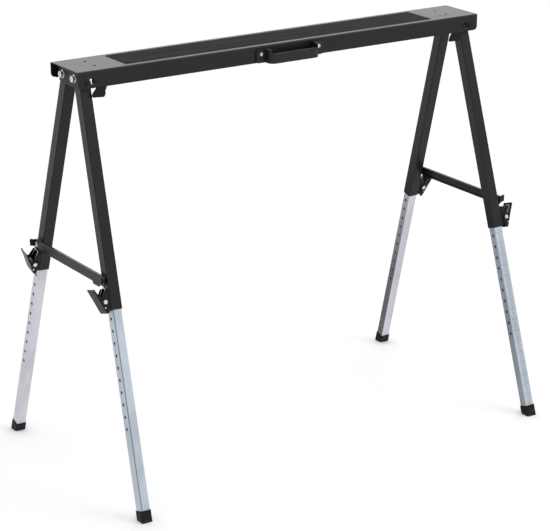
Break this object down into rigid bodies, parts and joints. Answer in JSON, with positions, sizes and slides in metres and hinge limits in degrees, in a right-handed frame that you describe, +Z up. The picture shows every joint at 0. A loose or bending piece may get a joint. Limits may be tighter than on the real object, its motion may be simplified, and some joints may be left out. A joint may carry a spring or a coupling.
{
  "type": "folding sawhorse",
  "caption": "Steel folding sawhorse: channel beam with a ribbed mat and a side handle, on two pairs of telescopic legs with lever locks, braces and rubber feet.",
  "frame": {"origin": "on the floor, under the middle of the beam", "axes": "+X along the beam towards its right end, +Y towards the back (the handle is on the -Y side), +Z up"},
  "size_m": [1.0708, 0.5912, 0.8816],
  "materials": {
    "black_coat": "satin powder coat",
    "black_sheet": "satin",
    "zinc_tube": "zinc plated",
    "zinc_hardware": "bright zinc",
    "ribbed_rubber": "ribbed, matte",
    "black_rubber": "matte",
    "black_plastic": "fine grain"
  },
  "bodies": {
    "frame": {"beam": "black_coat", "anti_slip_mat": "ribbed_rubber", "carry_handle": "black_plastic", "handle_screws": "zinc_hardware", "handle_nuts": "zinc_hardware", "fold_rivets": "black_sheet", "catch_rivets": "black_sheet", "left_catch_spring": "zinc_hardware", "right_catch_spring": "zinc_hardware"},
    "left_bracket": {"left_leg_bracket": "black_sheet", "left_leg_bolts": "zinc_hardware", "left_leg_nuts": "zinc_hardware"},
    "left_brace": {"left_brace": "black_coat"},
    "left_catch": {"left_catch": "black_sheet"},
    "left_rear_upper": {"left_rear_upper_leg": "black_coat", "left_rear_lock_bracket": "black_sheet", "left_rear_lock_rivet": "zinc_hardware", "left_rear_lock_spring": "zinc_hardware", "left_rear_brace_stud": "zinc_hardware"},
    "left_rear_lower": {"left_rear_lower_leg": "zinc_tube", "left_rear_foot_cap": "black_rubber", "left_rear_guide_plug": "black_plastic"},
    "left_rear_lever": {"left_rear_lock_lever": "black_sheet"},
    "left_rear_pin": {"left_rear_lock_pin": "zinc_hardware"},
    "left_front_upper": {"left_front_upper_leg": "black_coat", "left_front_lock_bracket": "black_sheet", "left_front_lock_rivet": "zinc_hardware", "left_front_lock_spring": "zinc_hardware", "left_front_brace_pivot": "black_sheet"},
    "left_front_lower": {"left_front_lower_leg": "zinc_tube", "left_front_foot_cap": "black_rubber", "left_front_guide_plug": "black_plastic"},
    "left_front_lever": {"left_front_lock_lever": "black_sheet"},
    "left_front_pin": {"left_front_lock_pin": "zinc_hardware"},
    "right_bracket": {"right_leg_bracket": "black_sheet", "right_leg_bolts": "zinc_hardware", "right_leg_nuts": "zinc_hardware"},
    "right_brace": {"right_brace": "black_coat"},
    "right_catch": {"right_catch": "black_sheet"},
    "right_front_upper": {"right_front_upper_leg": "black_coat", "right_front_lock_bracket": "black_sheet", "right_front_lock_rivet": "zinc_hardware", "right_front_lock_spring": "zinc_hardware", "right_front_brace_stud": "zinc_hardware"},
    "right_front_lower": {"right_front_lower_leg": "zinc_tube", "right_front_foot_cap": "black_rubber", "right_front_guide_plug": "black_plastic"},
    "right_front_lever": {"right_front_lock_lever": "black_sheet"},
    "right_front_pin": {"right_front_lock_pin": "zinc_hardware"},
    "right_rear_upper": {"right_rear_upper_leg": "black_coat", "right_rear_lock_bracket": "black_sheet", "right_rear_lock_rivet": "zinc_hardware", "right_rear_lock_spring": "zinc_hardware", "right_rear_brace_pivot": "black_sheet"},
    "right_rear_lower": {"right_rear_lower_leg": "zinc_tube", "right_rear_foot_cap": "black_rubber", "right_rear_guide_plug": "black_plastic"},
    "right_rear_lever": {"right_rear_lock_lever": "black_sheet"},
    "right_rear_pin": {"right_rear_lock_pin": "zinc_hardware"}
  },
  "joints": [
    {"name": "left_fold", "type": "hinge", "parent": "frame", "child": "left_bracket", "pos_m": [-0.4795, 0, 0.856], "axis": [0, -1, 0], "range_deg": [0, 91.7]},
    {"name": "left_catch_release", "type": "hinge", "parent": "frame", "child": "left_catch", "pos_m": [-0.461, -0.0495, 0.858], "axis": [0, -1, 0], "range_deg": [0, 20], "stiffness_Nm_per_rad": 0.12, "springref_deg": -20.05},
    {"name": "left_rear_close", "type": "hinge", "parent": "left_bracket", "child": "left_rear_upper", "pos_m": [-0.47488, 0.025, 0.85986], "axis": [-0.9996, 0, 0.0297], "range_deg": [0, 16.71]},
    {"name": "left_rear_retract", "type": "slide", "parent": "left_rear_upper", "child": "left_rear_lower", "axis": [0.0284, -0.2874, 0.9574], "range_m": [0, 0.405]},
    {"name": "left_rear_lock_release", "type": "hinge", "parent": "left_rear_upper", "child": "left_rear_lever", "pos_m": [-0.51229, 0.15365, 0.43197], "axis": [0.0085, 0.9578, 0.2872], "range_deg": [0, 20], "stiffness_Nm_per_rad": 0.12, "springref_deg": -20.05},
    {"name": "left_rear_pin_pull", "type": "slide", "parent": "left_rear_upper", "child": "left_rear_pin", "axis": [-0.9996, 0, 0.0297], "range_m": [0, 0.00402]},
    {"name": "left_front_close", "type": "hinge", "parent": "left_bracket", "child": "left_front_upper", "pos_m": [-0.47488, -0.025, 0.85986], "axis": [0.9996, 0, -0.0297], "range_deg": [0, 16.71]},
    {"name": "left_front_retract", "type": "slide", "parent": "left_front_upper", "child": "left_front_lower", "axis": [0.0284, 0.2874, 0.9574], "range_m": [0, 0.405]},
    {"name": "left_front_lock_release", "type": "hinge", "parent": "left_front_upper", "child": "left_front_lever", "pos_m": [-0.51229, -0.15365, 0.43197], "axis": [-0.0085, 0.9578, -0.2872], "range_deg": [0, 20], "stiffness_Nm_per_rad": 0.12, "springref_deg": -20.05},
    {"name": "left_front_pin_pull", "type": "slide", "parent": "left_front_upper", "child": "left_front_pin", "axis": [-0.9996, 0, 0.0297], "range_m": [0, 0.00402]},
    {"name": "left_brace_swing", "type": "hinge", "parent": "left_front_upper", "child": "left_brace", "pos_m": [-0.5047, -0.14158, 0.47199], "axis": [0.9996, 0, -0.0297], "range_deg": [0, 73.31]},
    {"name": "right_fold", "type": "hinge", "parent": "frame", "child": "right_bracket", "pos_m": [0.4795, 0, 0.856], "axis": [0, 1, 0], "range_deg": [0, 88.4]},
    {"name": "right_catch_release", "type": "hinge", "parent": "frame", "child": "right_catch", "pos_m": [0.461, -0.0495, 0.858], "axis": [0, 1, 0], "range_deg": [0, 20], "stiffness_Nm_per_rad": 0.12, "springref_deg": -20.05},
    {"name": "right_front_close", "type": "hinge", "parent": "right_bracket", "child": "right_front_upper", "pos_m": [0.47488, -0.025, 0.85986], "axis": [0.9996, 0, 0.0297], "range_deg": [0, 16.71]},
    {"name": "right_front_retract", "type": "slide", "parent": "right_front_upper", "child": "right_front_lower", "axis": [-0.0284, 0.2874, 0.9574], "range_m": [0, 0.405]},
    {"name": "right_front_lock_release", "type": "hinge", "parent": "right_front_upper", "child": "right_front_lever", "pos_m": [0.51229, -0.15365, 0.43197], "axis": [-0.0085, -0.9578, 0.2872], "range_deg": [0, 20], "stiffness_Nm_per_rad": 0.12, "springref_deg": -20.05},
    {"name": "right_front_pin_pull", "type": "slide", "parent": "right_front_upper", "child": "right_front_pin", "axis": [0.9996, 0, 0.0297], "range_m": [0, 0.00402]},
    {"name": "right_rear_close", "type": "hinge", "parent": "right_bracket", "child": "right_rear_upper", "pos_m": [0.47488, 0.025, 0.85986], "axis": [-0.9996, 0, -0.0297], "range_deg": [0, 16.71]},
    {"name": "right_rear_retract", "type": "slide", "parent": "right_rear_upper", "child": "right_rear_lower", "axis": [-0.0284, -0.2874, 0.9574], "range_m": [0, 0.405]},
    {"name": "right_rear_lock_release", "type": "hinge", "parent": "right_rear_upper", "child": "right_rear_lever", "pos_m": [0.51229, 0.15365, 0.43197], "axis": [0.0085, -0.9578, -0.2872], "range_deg": [0, 20], "stiffness_Nm_per_rad": 0.12, "springref_deg": -20.05},
    {"name": "right_rear_pin_pull", "type": "slide", "parent": "right_rear_upper", "child": "right_rear_pin", "axis": [0.9996, 0, 0.0297], "range_m": [0, 0.00402]},
    {"name": "right_brace_swing", "type": "hinge", "parent": "right_rear_upper", "child": "right_brace", "pos_m": [0.5047, 0.14158, 0.47199], "axis": [-0.9996, 0, -0.0297], "range_deg": [0, 73.31]}
  ],
  "couplings": [
    {"joint": "left_rear_close", "follows": "left_fold", "ratio": 0.18212},
    {"joint": "left_rear_pin_pull", "follows": "left_rear_lock_release", "m_per_rad": 0.0115},
    {"joint": "left_front_close", "follows": "left_fold", "ratio": 0.18212},
    {"joint": "left_front_pin_pull", "follows": "left_front_lock_release", "m_per_rad": 0.0115},
    {"joint": "left_brace_swing", "follows": "left_fold", "ratio": 0.79935},
    {"joint": "right_front_close", "follows": "right_fold", "ratio": 0.18891},
    {"joint": "right_front_pin_pull", "follows": "right_front_lock_release", "m_per_rad": 0.0115},
    {"joint": "right_rear_close", "follows": "right_fold", "ratio": 0.18891},
    {"joint": "right_rear_pin_pull", "follows": "right_rear_lock_release", "m_per_rad": 0.0115},
    {"joint": "right_brace_swing", "follows": "right_fold", "ratio": 0.82919}
  ]
}
